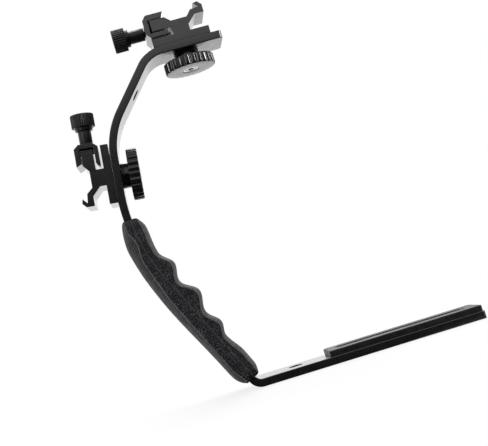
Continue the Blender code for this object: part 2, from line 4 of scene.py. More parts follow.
import bmesh
import bpy
from mathutils import Matrix, Vector


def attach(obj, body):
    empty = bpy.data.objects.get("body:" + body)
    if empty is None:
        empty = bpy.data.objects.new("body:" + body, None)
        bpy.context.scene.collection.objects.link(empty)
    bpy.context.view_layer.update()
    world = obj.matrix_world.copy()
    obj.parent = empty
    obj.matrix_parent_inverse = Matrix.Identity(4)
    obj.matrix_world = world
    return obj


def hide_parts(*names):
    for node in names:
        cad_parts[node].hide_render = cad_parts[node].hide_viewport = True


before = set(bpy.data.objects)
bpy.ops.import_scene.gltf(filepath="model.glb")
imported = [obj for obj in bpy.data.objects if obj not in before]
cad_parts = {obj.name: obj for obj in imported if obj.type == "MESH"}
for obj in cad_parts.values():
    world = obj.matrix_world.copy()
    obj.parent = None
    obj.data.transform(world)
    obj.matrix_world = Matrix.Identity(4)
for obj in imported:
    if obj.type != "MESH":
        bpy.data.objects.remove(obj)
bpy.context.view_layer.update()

MM = 0.001
GAP = 0.3 * MM
CLOSE = 0.03 * MM
RUNNING_GAP = 0.2 * MM
OVERRUN = 3.0 * MM
TAU = math.tau

# Bar: section, and the chain of runs and bends from the free end of the base arm
BAR_WIDTH = 25.0 * MM
BAR_THICK = 4.5 * MM
BAR_EDGE = 0.55 * MM
BAR_CORNER = 2.5 * MM
BAR_EDGE_STEPS = 4
BAR_CORNER_STEPS = 12
BEND_STEP_DEGREES = 1.5
RUN_STEPS = 4
BASE_END_X = 96.5 * MM
BEND_RADII = (6.0 * MM, 97.3 * MM, 43.9 * MM, 17.8 * MM)
BEND_DEGREES = (64.5, 31.4, 34.7, 49.4)
SLOT_FROM_END = 8.0 * MM
SLOT_LENGTH = 77.0 * MM
SLOT_WIDTH = 6.8 * MM
ACCESSORY_HOLE_FROM_END = 109.5 * MM
BEND_PAST_HOLE = 20.4 * MM
BAR_PAST_GRIP = 16.32 * MM
ACCESSORY_HOLE_RADIUS = 3.7 * MM
BRACE_HOLE_RADIUS = 3.3 * MM
HOLE_RIM = 0.35 * MM
UPPER_STUD_FROM_END = 21.4 * MM
LOWER_STUD_ABOVE_MIDDLE = 0.65 * MM

# Pad
PAD_FROM_END = 1.1 * MM
PAD_SIDE = 0.35 * MM
PAD_LENGTH = 89.5 * MM
PAD_HEIGHT = 3.1 * MM
PAD_CORNER = 2.0 * MM
PAD_EDGE = 0.7 * MM
PAD_EDGE_STEPS = 5
PAD_CORNER_STEPS = 8
SLOT_RIM = 0.45 * MM

# Grip
GRIP_FROM_BEND = 0.3 * MM
GRIP_LENGTH = 110.0 * MM
GRIP_HALF = 15.8 * MM
GRIP_SEAM = 1.5 * MM
GRIP_END_WALL = 0.9 * MM
GRIP_END_ROUND = 5.0 * MM
FINGER_END_ROUND = 5.5 * MM
PALM_END_ROUND = 7.5 * MM
FINGER_CREST = 11.2 * MM
PALM_SWELL = 8.8 * MM
FINGER_STATIONS = (0.0, 0.12, 0.24, 0.312, 0.395, 0.502, 0.598, 0.692, 0.79, 0.93, 1.0)
FINGER_HEIGHTS = (0.64, 0.66, 0.50, 0.79, 0.53, 1.0, 0.57, 0.98, 0.64, 0.73, 0.66)
FINGER_CROWN = 2.0 * MM
PALM_STATIONS = (0.0, 0.12, 0.5, 0.85, 1.0)
PALM_HEIGHTS = (0.84, 0.88, 1.0, 0.82, 0.60)
PALM_EDGE_STATIONS = (0.0, 0.1, 0.5, 0.78, 0.875, 0.95, 1.0)
PALM_EDGES = (0.40, 0.60, 0.60, 0.36, 0.12, 0.34, 0.30)
CROWN_POWER = 2.5
CROWN_STEPS = 15
GRIP_END_STEPS = 14
GRIP_STEPS = 150
GRIP_EDGE_ROUND = 1.1 * MM
GRIP_EDGE_STEPS = 5
LEAST_FLAT = 1.5 * GRIP_EDGE_ROUND
FLAT_PLACES = (0.0, 0.1, 0.5, 0.94)
SEAM_ROUND = 0.3 * MM
SEAM_BULGE = SEAM_ROUND * 0.3
GRIP_SHARP_DEGREES = 40.0
# Shares of painted highlight on the steps of the rounded edge line, and on the seam's two points
EDGE_HIGHLIGHT = (0.7, 1.0, 0.5, 0.1, 0.0, 0.0)
SEAM_HIGHLIGHT = (0.6, 0.6)
GRIP_SCREWS = (0.312, 0.692)
GRIP_SCREW_RADIUS = 1.5 * MM
GRIP_HEAD_RADIUS = 2.9 * MM
GRIP_HEAD_HEIGHT = 2.0 * MM
GRIP_HEAD_DEPTH = 5.2 * MM
GRIP_SCREW_REACH = 6.2 * MM
GRIP_HEAD_STEPS = 6
CROSS_ARM_SHARE = 0.55
CROSS_WIDTH_SHARE = 0.14
CROSS_DEPTH_SHARE = 0.7

# Runs between the bends
GRIP_RUN = GRIP_FROM_BEND + GRIP_LENGTH + BAR_PAST_GRIP - BEND_RADII[1] * math.radians(BEND_DEGREES[1])
RUNS = (ACCESSORY_HOLE_FROM_END + BEND_PAST_HOLE, GRIP_RUN, 18.9 * MM, 27.9 * MM, 34.8 * MM)

# Shoe, in its own frame: X towards the hook, Z out of the bar
SHOE_WIDTH = 24.0 * MM
SHOE_EDGE = 0.15 * MM
FLANGE_BACK = 17.5 * MM
FLANGE_HOOK = 15.5 * MM
FLANGE_THICK = 4.1 * MM
CORE_BACK = 4.5 * MM
CORE_HOOK = 5.0 * MM
JAW_SLOT = 4.3 * MM
TONGUE_THICK = 6.5 * MM
TONGUE_REACH = 15.8 * MM
JAW_BACK = 2.7 * MM
JAW_END_GAP = 1.1 * MM
JAW_UPPER_GAP = 0.3 * MM
JAW_LOWER_GAP = 0.85 * MM
JAW_UPPER_ARM = 3.2 * MM
JAW_LOWER_ARM = 2.35 * MM
FLANGE_TOP = GAP + FLANGE_THICK
TONGUE_LOW = FLANGE_TOP + JAW_SLOT
TONGUE_TOP = TONGUE_LOW + TONGUE_THICK
SEAT_DEPTH = 2.9 * MM
SEAT_LEVEL = TONGUE_TOP - SEAT_DEPTH
SEAT_BACK = 4.1 * MM
TONGUE_RAMP_BACK = 7.4 * MM
CLAMP_HEIGHT = TONGUE_LOW + TONGUE_THICK / 2
JAW_OUTER = TONGUE_REACH + JAW_END_GAP + JAW_BACK
COUNTERBORE_RADIUS = 3.6 * MM

# Hook of the shoe: places along X, and heights from the tongue's top (the neck's from the flange's)
HOOK_NECK_RISE = 3.5 * MM
HOOK_UNDER_REACH = 9.8 * MM
HOOK_UNDER_DROP = 2.7 * MM
HOOK_REACH = 15.1 * MM
HOOK_SHOULDER_RISE = 1.7 * MM
HOOK_TOP = (12.9 * MM, 3.9 * MM)
HOOK_LIP = (10.2 * MM, 3.4 * MM)
POCKET_FAR = (12.9 * MM, 0.9 * MM)
POCKET_NEAR = (7.9 * MM, 0.4 * MM)

# Jaw: corner cut off its back, and where its arms end
JAW_CORNER = (2.3 * MM, 2.7 * MM)
JAW_LOWER_END = (5.6 * MM, 8.1 * MM)
JAW_UPPER_END = (7.3 * MM, 8.8 * MM)

# Clamp screw and knob
CLAMP_THREAD = 2.0 * MM
CLAMP_PITCH = 0.7 * MM
CLAMP_REACH = 8.3 * MM
JAW_TRAVEL_IN = 0.7 * MM
SHANK_RADIUS = 3.7 * MM
SHANK_LENGTH = 8.8 * MM
COLLAR_RADIUS = 4.9 * MM
COLLAR_THICK = 1.6 * MM
KNOB_RADIUS = 6.6 * MM
KNOB_LENGTH = 7.45 * MM
KNOB_DISH = 0.5 * MM
KNOB_DISH_RADII = (4.2 * MM, 3.7 * MM)
KNOB_ROUNDS = [length * MM for length in (0.1, 0.2, 0.15, 0.3, 0.6, 0.3, 0.2, 0.2)]
KNOB_ROUND_STEPS = 5
KNOB_RIBS = 32
KNOB_RIB_DEPTH = 0.3 * MM
KNOB_RIB_SEGMENTS = 10
SPIGOT_RADIUS = 2.4 * MM
SPIGOT_INSET = 0.8 * MM
CLIP_THICK = 0.6 * MM
CLIP_GAP = 0.15 * MM
CLIP_GROOVE = 0.5 * MM
CLAMP_ROWS_A_TURN = 6
CLAMP_SEGMENTS = 64

# Stud, washer, wheel and insert
STUD_RADIUS = 3.175 * MM
STUD_PITCH = 1.27 * MM
STUD_IN_SHOE = 8.7 * MM
STUD_INSET = 0.3 * MM
STUD_TIP = 0.5 * MM
STUD_ROWS_A_TURN = 7
STUD_SEGMENTS = 72
STUD_SOCKET = 3.175 * MM
STUD_SOCKET_DEPTH = 3.0 * MM
WASHER_RADIUS = 7.1 * MM
WASHER_THICK = 1.1 * MM
WASHER_ROUND = 0.25 * MM
HUB_RADIUS = 7.1 * MM
HUB_HEIGHT = 2.6 * MM
WHEEL_RADIUS = 14.5 * MM
WHEEL_THICK = 6.1 * MM
WHEEL_RIBS = 24
WHEEL_RIB_DEPTH = 0.8 * MM
WHEEL_RIB_SEGMENTS = 14
WHEEL_GROOVE_POWER = 2.5
WHEEL_FADE_POWER = 6
WHEEL_ROUNDS = [length * MM for length in (0.3, 0.8, 0.8, 0.4, 0.3, 0.3)]
WHEEL_ROUND_STEPS = 6
WHEEL_BORE = 4.65 * MM
RING_INSET = 0.2 * MM
RING_CHAMFER = 0.2 * MM
RING_ROUND = 0.15 * MM
WHEEL_TOP = BAR_THICK + GAP + WASHER_THICK + GAP
WHEEL_FACE = WHEEL_TOP + HUB_HEIGHT + WHEEL_THICK
RING_END = WHEEL_FACE - RING_INSET
THREAD_DEPTH_SHARE = 0.6

# Meshes: segments round an axis, steps of rounded edges, sharp shading, and small limits
SMOOTH = 96
CUT_SEGMENTS = 48
ROUND_STEPS = 3
BEVEL_SEGMENTS = 2
STADIUM_STEPS = 14
SHARP_DEGREES = 30.0
ROUND_REACH_SHARE = 0.45
ON_AXIS = GAP * 0.01
STATION_SLACK = GAP * 0.001
FACING_COSINE = 0.9


# Materials

# Parts of a noise's range that the finishes take, and the ranges that they map it to
CLOUD_RANGE = (0.2, 1.0)
SPECKLE_LIMITS = (0.42, 0.7)
PEBBLE_LIMITS = (0.1, 0.5)
PEBBLE_SMOOTHNESS = 0.35
# Part of the clouds' range that breaks the painted highlight into patches
HIGHLIGHT_RANGE = (0.6, 1.0)
ROUGHNESS_SHARES = (0.85, 1.2)


def add(tree, kind, settings=None, **values):
    """Add a node, set its properties, then its input values by name or index."""
    made = tree.nodes.new(kind)
    for key, value in (settings or {}).items():
        setattr(made, key, value)
    for key, value in values.items():
        made.inputs[key.replace("_", " ")].default_value = value
    return made


def spread(tree, source, low, high, start=0.35, end=0.65):
    """Map a value to a range; by default one of a noise, which stays near the middle."""
    mapped = add(tree, "ShaderNodeMapRange", From_Min=start, From_Max=end, To_Min=low, To_Max=high)
    tree.links.new(source, mapped.inputs["Value"])
    return mapped.outputs["Result"]


def surface(name, colour, lighter, roughness, mottle, grain, grain_depth, metallic=0.0, coat=0.0,
            coat_roughness=0.12, specular=0.5, cells=False, stretch=(1.0, 1.0, 1.0), highlight_colour=()):
    """A finish whose colour, roughness and relief all vary over the surface.

    mottle and grain are the scales of the clouds and of the fine relief, cells makes that relief pebbled,
    and the optional last colour is a painted highlight, laid on in patches where a vertex attribute asks for
    it.
    """
    made = bpy.data.materials.new(name)
    made.use_nodes = True
    tree = made.node_tree
    shader = tree.nodes["Principled BSDF"]
    place = add(tree, "ShaderNodeTexCoord").outputs["Object"]
    stretched = add(tree, "ShaderNodeMapping", Scale=stretch)
    tree.links.new(place, stretched.inputs["Vector"])
    clouds = add(tree, "ShaderNodeTexNoise", Scale=mottle, Detail=6.0, Roughness=0.6)
    tree.links.new(place, clouds.inputs["Vector"])
    fine = add(tree, "ShaderNodeTexNoise", Scale=grain, Detail=3.0, Roughness=0.55)
    tree.links.new(stretched.outputs["Vector"], fine.inputs["Vector"])
    relief = fine.outputs["Fac"]
    if cells:
        pebbles = add(tree, "ShaderNodeTexVoronoi", {"feature": "SMOOTH_F1"}, Scale=grain,
                      Smoothness=PEBBLE_SMOOTHNESS)
        tree.links.new(place, pebbles.inputs["Vector"])
        relief = pebbles.outputs["Distance"]
    tint = add(tree, "ShaderNodeMix", {"data_type": "RGBA"})
    tint.inputs[6].default_value = (*colour, 1.0)
    tint.inputs[7].default_value = (*lighter, 1.0)
    blend = add(tree, "ShaderNodeMath", {"operation": "MULTIPLY", "use_clamp": True})
    tree.links.new(spread(tree, clouds.outputs["Fac"], *CLOUD_RANGE), blend.inputs[0])
    speckle = spread(tree, fine.outputs["Fac"], 0.0, 1.0, *SPECKLE_LIMITS)
    if cells:
        speckle = spread(tree, relief, 1.0, 0.0, *PEBBLE_LIMITS)
    tree.links.new(speckle, blend.inputs[1])
    tree.links.new(blend.outputs[0], tint.inputs[0])
    result = tint.outputs[2]
    # Painted highlight: a lighter colour where the vertex attribute asks for it, standing in for highlight
    # lines on rounded edges and the seam
    if highlight_colour:
        highlighted = add(tree, "ShaderNodeMix", {"data_type": "RGBA"})
        highlighted.inputs[7].default_value = (*highlight_colour, 1.0)
        tree.links.new(result, highlighted.inputs[6])
        highlight_mask = add(tree, "ShaderNodeMath", {"operation": "MULTIPLY"})
        tree.links.new(add(tree, "ShaderNodeAttribute", {"attribute_name": "painted_highlight"}).outputs["Fac"],
                       highlight_mask.inputs[0])
        tree.links.new(spread(tree, clouds.outputs["Fac"], *HIGHLIGHT_RANGE), highlight_mask.inputs[1])
        tree.links.new(highlight_mask.outputs[0], highlighted.inputs[0])
        result = highlighted.outputs[2]
    tree.links.new(result, shader.inputs["Base Color"])
    low, high = [roughness * share for share in ROUGHNESS_SHARES]
    tree.links.new(spread(tree, clouds.outputs["Fac"], low, high), shader.inputs["Roughness"])
    bump = add(tree, "ShaderNodeBump", Strength=1.0, Distance=grain_depth)
    tree.links.new(relief, bump.inputs["Height"])
    tree.links.new(bump.outputs["Normal"], shader.inputs["Normal"])
    shader.inputs["Metallic"].default_value = metallic
    shader.inputs["Coat Weight"].default_value = coat
    shader.inputs["Coat Roughness"].default_value = coat_roughness
    shader.inputs["Specular IOR Level"].default_value = specular
    return made


FINISH = {
    "painted_bar": surface("powder_coat", (0.006, 0.006, 0.007), (0.012, 0.012, 0.014), 0.34, coat=1.0,
                           coat_roughness=0.1, mottle=220.0, grain=1500.0, grain_depth=0.0000012,
                           specular=0.3),
    "anodised_shoe": surface("black_anodising", (0.004, 0.004, 0.005), (0.010, 0.010, 0.012), 0.3,
                             coat=1.0, coat_roughness=0.1, mottle=300.0, grain=1300.0,
                             grain_depth=0.000002, stretch=(1.0, 0.08, 1.0), specular=0.5),
    "black_screw": surface("black_oxide", (0.007, 0.007, 0.008), (0.015, 0.015, 0.017), 0.32,
                           mottle=350.0, grain=2600.0, grain_depth=0.000001, specular=0.33),
    "bright_steel": surface("plated_steel", (0.50, 0.50, 0.51), (0.66, 0.66, 0.67), 0.2, metallic=1.0,
                            mottle=400.0, grain=2500.0, grain_depth=0.000003),
    "nickel_plate": surface("nickel_plate", (0.80, 0.79, 0.77), (0.92, 0.91, 0.89), 0.12, metallic=1.0,
                            mottle=400.0, grain=2500.0, grain_depth=0.000002),
    "gloss_plastic": surface("gloss_plastic", (0.005, 0.005, 0.006), (0.010, 0.010, 0.011), 0.2, coat=0.78,
                             coat_roughness=0.08, mottle=200.0, grain=1100.0, grain_depth=0.000001,
                             specular=0.1),
    # The grip's last colour is a painted highlight for its edge lines and seam
    "grip_rubber": surface("grained_grip", (0.004, 0.004, 0.006), (0.13, 0.131, 0.143), 0.6,
                           mottle=180.0, grain=1300.0, grain_depth=0.00012, cells=True, specular=0.35,
                           highlight_colour=(0.17, 0.17, 0.18)),
    "pad_rubber": surface("black_rubber", (0.006, 0.006, 0.007), (0.018, 0.018, 0.02), 0.42,
                          mottle=160.0, grain=1700.0, grain_depth=0.000006, specular=0.3),
}
# Matt and darker than the finishes round it: painted shade for the walls of a hole and of the jaw's gap
MATT_SHADE = surface("matt_painted_shade", (0.002, 0.002, 0.002), (0.005, 0.005, 0.005), 0.8, mottle=300.0, grain=1300.0,
               grain_depth=0.00001, specular=0.1)


# Mesh tools

def fillet(points, radius, steps=ROUND_STEPS, closed=True):
    """Round every corner of an outline; an open one keeps its two ends."""
    made = []
    radii = radius if isinstance(radius, (list, tuple)) else [radius] * len(points)
    for index, point in enumerate(points):
        here = Vector(point)
        if not closed and index in (0, len(points) - 1):
            made.append(tuple(here))
            continue
        back = Vector(points[index - 1]) - here
        ahead = Vector(points[(index + 1) % len(points)]) - here
        reach = min(radii[index], back.length * ROUND_REACH_SHARE, ahead.length * ROUND_REACH_SHARE)
        start = here + back.normalized() * reach
        end = here + ahead.normalized() * reach
        for step in range(steps + 1):
            share = step / steps
            made.append(tuple(start * (1 - share) ** 2 + here * 2 * share * (1 - share) + end * share ** 2))
    return made


def piece_from(work, name, matrix=None, edge_degrees=SHARP_DEGREES):
    """Turn mesh work into an object with smooth shading between its sharp edges."""
    bmesh.ops.recalc_face_normals(work, faces=work.faces)
    data = bpy.data.meshes.new(name)
    work.to_mesh(data)
    work.free()
    data.shade_smooth()
    data.set_sharp_from_angle(angle=math.radians(edge_degrees))
    made = bpy.data.objects.new(name, data)
    bpy.context.scene.collection.objects.link(made)
    if matrix:
        made.matrix_world = matrix
    return made


def skin(work, rows, wrap):
    """Join rows of vertices with faces; a row of one vertex is a point on the axis."""
    pairs = list(zip(rows, rows[1:])) + ([(rows[-1], rows[0])] if wrap else [])
    for low, high in pairs:
        count = max(len(low), len(high))
        for index in range(count):
            after = (index + 1) % count
            corners = [low[index % len(low)], low[after % len(low)], high[after % len(high)],
                       high[index % len(high)]]
            work.faces.new(list(dict.fromkeys(corners)))


def revolve(name, profile, matrix, segments=SMOOTH, closed=False, reshape=None):
    """Turn (radius, height) points round Z; reshape changes a point's radius by its angle."""
    work = bmesh.new()
    rows = []
    for radius, height in profile:
        if radius < ON_AXIS:
            rows.append([work.verts.new((0.0, 0.0, height))])
            continue
        row = []
        for step in range(segments):
            turn = TAU * step / segments
            reach = reshape(radius, height, turn) if reshape else radius
            row.append(work.verts.new((reach * math.cos(turn), reach * math.sin(turn), height)))
        rows.append(row)
    skin(work, rows, closed)
    return piece_from(work, name, matrix)


def loft(name, rings, edge_degrees=SHARP_DEGREES, highlighted=()):
    """Skin rings of points; the last argument gives each point of a ring its share of painted highlight."""
    work = bmesh.new()
    painted_highlight = work.verts.layers.float.new("painted_highlight")
    rows = [[work.verts.new(point) for point in ring] for ring in rings]
    for row in rows:
        for vertex, share in zip(row, highlighted):
            vertex[painted_highlight] = share
    skin(work, rows, False)
    work.faces.new(rows[0])
    work.faces.new(rows[-1])
    return piece_from(work, name, edge_degrees=edge_degrees)


def extrude(name, outline, low, high, matrix=None, upright=False, edge=0.0):
    """Extrude an outline along local Z, or along local Y where it stands upright."""
    work = bmesh.new()
    place = (lambda a, b: (a, low, b)) if upright else (lambda a, b: (a, b, low))
    face = work.faces.new([work.verts.new(place(a, b)) for a, b in outline])
    grown = bmesh.ops.extrude_face_region(work, geom=[face])
    moved = [item for item in grown["geom"] if isinstance(item, bmesh.types.BMVert)]
    bmesh.ops.translate(work, verts=moved, vec=(0, high - low, 0) if upright else (0, 0, high - low))
    if edge:
        bmesh.ops.bevel(work, geom=work.edges[:], offset=edge, segments=BEVEL_SEGMENTS, affect="EDGES",
                        profile=0.5)
    return piece_from(work, name, matrix)


def carve(target, cutters, edge_degrees=SHARP_DEGREES):
    """Cut holes and keep the result as plain mesh data."""
    for cutter in cutters:
        boolean = target.modifiers.new(cutter.name, "BOOLEAN")
        boolean.operation = "DIFFERENCE"
        boolean.solver = "EXACT"
        boolean.object = cutter
    bpy.context.view_layer.update()
    solved = target.evaluated_get(bpy.context.evaluated_depsgraph_get())
    data = bpy.data.meshes.new_from_object(solved)
    target.modifiers.clear()
    target.data = data
    data.set_sharp_from_angle(angle=math.radians(edge_degrees))
    for cutter in cutters:
        bpy.data.objects.remove(cutter, do_unlink=True)
    return target


def even(piece):
    """Keep flat faces flat in their shading, beside rounded edges."""
    weighted = piece.modifiers.new("even_shading", "WEIGHTED_NORMAL")
    weighted.keep_sharp = True
    return piece


def matt_shade(piece, in_shade):
    """Give the faces that a test picks a matt finish, darker than the part, that paints shade onto them."""
    piece.data.materials.append(MATT_SHADE)
    for face in piece.data.polygons:
        if in_shade(face):
            face.material_index = 1


def matt_shade_walls(piece, low, high):
    """Paint shade, matt and darker, on the walls that face along local X, between two places on it."""
    matt_shade(piece, lambda face: abs(face.normal.x) > FACING_COSINE and low < face.center.x < high)


def matt_shade_hole(piece, radius, placed):
    """Paint shade, matt and darker, on the wall and the rim of a hole whose axis is Z of a frame."""
    local = placed.inverted()
    turned = local.to_3x3()
    matt_shade(piece, lambda face: (local @ face.center).xy.length < radius
            and abs((turned @ face.normal).z) < FACING_COSINE)


def hole(name, radius, low, high, matrix, rim=0.0):
    """A round cutter, flared at both ends of the wall where the hole has a chamfered rim."""
    profile = [(0.0, low - OVERRUN), (radius + rim + OVERRUN, low - OVERRUN), (radius, low + rim),
               (radius, high - rim), (radius + rim + OVERRUN, high + OVERRUN), (0.0, high + OVERRUN)]
    if not rim:
        profile = [(0.0, low), (radius, low), (radius, high), (0.0, high)]
    return revolve(name, profile, matrix, CUT_SEGMENTS)


def stadium(length, width):
    """Outline of a slot with round ends."""
    radius = width / 2
    outline = []
    for side in (1, -1):
        for step in range(STADIUM_STEPS + 1):
            turn = math.pi * step / STADIUM_STEPS - math.pi / 2
            outline.append((side * (length / 2 - radius + radius * math.cos(turn)),
                            side * radius * math.sin(turn)))
    return outline


def dress(piece, body, slot, *nodes):
    """Give a piece its finish, its body and the solids that it stands for."""
    piece.data.materials.clear()
    piece.data.materials.append(FINISH[slot])
    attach(piece, body)
    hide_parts(*nodes)


# Centre line of the bar

def chain():
    """List the runs and bends as (length, start point, start heading, radius)."""
    pieces = []
    point = Vector((BASE_END_X, 0.0, BAR_THICK / 2))
    heading = math.pi
    for index, run in enumerate(RUNS):
        pieces.append((run, point.copy(), heading, 0.0))
        point = point + Vector((math.cos(heading), 0.0, math.sin(heading))) * run
        if index < len(BEND_RADII):
            radius = BEND_RADII[index]
            turn = math.radians(BEND_DEGREES[index])
            pieces.append((radius * turn, point.copy(), heading, radius))
            centre = point + Vector((math.sin(heading), 0.0, -math.cos(heading))) * radius
            heading -= turn
            point = centre - Vector((math.sin(heading), 0.0, -math.cos(heading))) * radius
    return pieces


LINE = chain()
LINE_LENGTH = sum(piece[0] for piece in LINE)


def bar_frame(station, flipped=False):
    """Frame at a station: X along the bar, Z out of its outer face; flipped turns X back."""
    left = station
    for length, point, heading, radius in LINE:
        if left <= length + STATION_SLACK:
            break
        left -= length
    if radius:
        centre = point + Vector((math.sin(heading), 0.0, -math.cos(heading))) * radius
        heading = heading - left / radius
        point = centre - Vector((math.sin(heading), 0.0, -math.cos(heading))) * radius
    else:
        point = point + Vector((math.cos(heading), 0.0, math.sin(heading))) * left
    along = Vector((math.cos(heading), 0.0, math.sin(heading))) * (-1 if flipped else 1)
    out = Vector((-math.sin(heading), 0.0, math.cos(heading)))
    placed = Matrix((along, out.cross(along), out)).transposed().to_4x4()
    placed.translation = point
    return placed


def end_of(index):
    """Station where one run or bend of the line ends."""
    return sum(piece[0] for piece in LINE[:index + 1])


GRIP_START = end_of(1) + GRIP_FROM_BEND
LOWER_STUD = end_of(3) + RUNS[2] / 2 + LOWER_STUD_ABOVE_MIDDLE
BRACE_HOLE = end_of(5) + RUNS[3] / 2
UPPER_STUD = LINE_LENGTH - UPPER_STUD_FROM_END


def bar_ring(station):
    """Rounded section of the bar, narrower where the end's corners are rounded off."""
    from_end = min(station, LINE_LENGTH - station)
    short = max(0.0, BAR_CORNER - from_end)
    half = BAR_WIDTH / 2 - BAR_CORNER + math.sqrt(max(0.0, BAR_CORNER ** 2 - short ** 2))
    thick = BAR_THICK / 2
    if from_end < BAR_EDGE:
        drawn = BAR_EDGE - math.sqrt(max(0.0, BAR_EDGE ** 2 - (BAR_EDGE - from_end) ** 2))
        thick -= drawn
        half -= drawn
    outline = [(half, -thick), (half, thick), (-half, thick), (-half, -thick)]
    placed = bar_frame(station)
    return [placed @ Vector((0.0, y, z)) for y, z in fillet(outline, BAR_EDGE, BAR_EDGE_STEPS)]


def make_bar():
    """The bent bar with its slot and holes."""
    corner = [BAR_CORNER * (1 - math.cos(math.pi / 2 * step / BAR_CORNER_STEPS))
              for step in range(BAR_CORNER_STEPS + 1)]
    stations = list(corner)
    reached = 0.0
    for length, point, heading, radius in LINE:
        steps = max(2, round(math.degrees(length / radius) / BEND_STEP_DEGREES)) if radius else RUN_STEPS
        stations += [reached + length * step / steps for step in range(1, steps + 1)]
        reached += length
    stations = [place for place in stations if place < LINE_LENGTH - corner[-1]]
    stations += [LINE_LENGTH - place for place in reversed(corner)]
    bar = loft("bar", [bar_ring(station) for station in sorted(stations)])
    half = BAR_THICK / 2
    past = half + OVERRUN
    cutters = [hole("accessory_hole", ACCESSORY_HOLE_RADIUS, -half, half, bar_frame(ACCESSORY_HOLE_FROM_END),
                    HOLE_RIM),
               hole("brace_hole", BRACE_HOLE_RADIUS, -half, half, bar_frame(BRACE_HOLE), HOLE_RIM)]
    for name, station in (("lower_hole", LOWER_STUD), ("upper_hole", UPPER_STUD)):
        cutters.append(hole(name, STUD_RADIUS + RUNNING_GAP, -past, past, bar_frame(station)))
    for index, share in enumerate(GRIP_SCREWS):
        cutters.append(hole("bar_screw_%d" % index, GRIP_SCREW_RADIUS + GAP, -past, past,
                            bar_frame(GRIP_START + GRIP_LENGTH * share)))
    cutters.append(extrude("camera_slot", stadium(SLOT_LENGTH, SLOT_WIDTH), -past, past,
                           bar_frame(SLOT_FROM_END + SLOT_LENGTH / 2)))
    dress(even(carve(bar, cutters)), "frame", "painted_bar", "frame_bar")
    # Painted shade: the accessory hole's wall darker than the bar
    matt_shade_hole(bar, ACCESSORY_HOLE_RADIUS + HOLE_RIM, bar_frame(ACCESSORY_HOLE_FROM_END))


def make_pad():
    """Rubber pad on the base arm, with a chamfered slot."""
    half_x = PAD_LENGTH / 2
    half_y = BAR_WIDTH / 2 - PAD_SIDE
    edge = fillet([(0.0, 0.0), (0.0, PAD_HEIGHT), (half_y, PAD_HEIGHT)], PAD_EDGE, PAD_EDGE_STEPS,
                  closed=False)
    rings = []
    for inset, height in [(GAP / 2, CLOSE - GAP), (0.0, CLOSE - GAP / 2)] + edge[1:-1]:
        corners = [(half_x - inset, half_y - inset), (inset - half_x, half_y - inset),
                   (inset - half_x, inset - half_y), (half_x - inset, inset - half_y)]
        rings.append([(x, y, height) for x, y in fillet(corners, PAD_CORNER, PAD_CORNER_STEPS)])
    pad = loft("pad", rings)
    pad.matrix_world = Matrix.Translation((BASE_END_X - PAD_FROM_END - half_x, 0.0, BAR_THICK + GAP))
    top = BAR_THICK + GAP + PAD_HEIGHT
    middle = BASE_END_X - SLOT_FROM_END - SLOT_LENGTH / 2
    rings = []
    for spare, height in ((0.0, 0.0), (0.0, top - SLOT_RIM), (SLOT_RIM, top), (SLOT_RIM + GAP, top + GAP)):
        outline = stadium(SLOT_LENGTH + 2 * spare, SLOT_WIDTH + 2 * spare)
        rings.append([(middle + x, y, height) for x, y in outline])
    dress(even(carve(pad, [loft("pad_slot", rings)])), "frame", "pad_rubber", "base_pad")


# Grip

def eased(stations, heights, place):
    """A smooth curve through crests and hollows, level at each of them."""
    for (left, low), (right, high) in zip(zip(stations, heights), zip(stations[1:], heights[1:])):
        if place <= right:
            share = (place - left) / (right - left)
            return low + (high - low) * (1 - math.cos(math.pi * share)) / 2
    return heights[-1]


def fullness(from_end, reach):
    """Share of the full height or width near a rounded end."""
    short = max(0.0, reach - from_end) / reach
    return math.sqrt(max(0.0, 1 - short ** 2))


def grip_ring(share, side):
    """Section of one shell: flat side, a rounded edge line, then a crowned face."""
    from_end = min(share, 1 - share) * GRIP_LENGTH
    channel_half = BAR_WIDTH / 2 + GAP
    channel_depth = BAR_THICK / 2 + GAP
    if side < 0:
        height = FINGER_CREST * eased(FINGER_STATIONS, FINGER_HEIGHTS, share)
        full = fullness(from_end, FINGER_END_ROUND)
        edge = height - FINGER_CROWN
    else:
        height = PALM_SWELL * eased(PALM_STATIONS, PALM_HEIGHTS, share)
        full = fullness(from_end, PALM_END_ROUND)
        edge = PALM_SWELL * eased(PALM_EDGE_STATIONS, PALM_EDGES, share)
    low = channel_depth + GRIP_END_WALL
    height = low + (height - low) * full
    end_half = channel_half + GRIP_END_WALL
    half = end_half + (GRIP_HALF - end_half) * fullness(from_end, GRIP_END_ROUND)
    seam = side * (-GRIP_SEAM) + CLOSE / 2
    edge = max(seam + SEAM_ROUND + LEAST_FLAT, min(edge, height - GAP))
    crown = []
    for step in range(CROWN_STEPS):
        across = half * (1 - (step + 1) / (CROWN_STEPS + 1))
        crown.append((edge + (height - edge) * (1 - (across / half) ** CROWN_POWER), across))
    corner = fillet([(seam, half), (edge, half)] + crown[:1], GRIP_EDGE_ROUND, GRIP_EDGE_STEPS, closed=False)
    corner = corner[1:-1]
    low, high = seam + SEAM_ROUND, corner[0][0]
    flat = [(low * (1 - place) + high * place, half) for place in FLAT_PLACES]
    outer = [(seam, half - SEAM_ROUND), (seam + SEAM_BULGE, half - SEAM_BULGE)] + flat + corner + crown
    middle = [(height, 0.0)]
    mirrored = [(n, -y) for n, y in reversed(outer)]
    channel = [(seam, -channel_half), (channel_depth, -channel_half), (channel_depth, channel_half),
               (seam, channel_half)]
    placed = bar_frame(GRIP_START + GRIP_LENGTH * share)
    return [placed @ Vector((0.0, y, side * n)) for n, y in outer + middle + mirrored + channel]


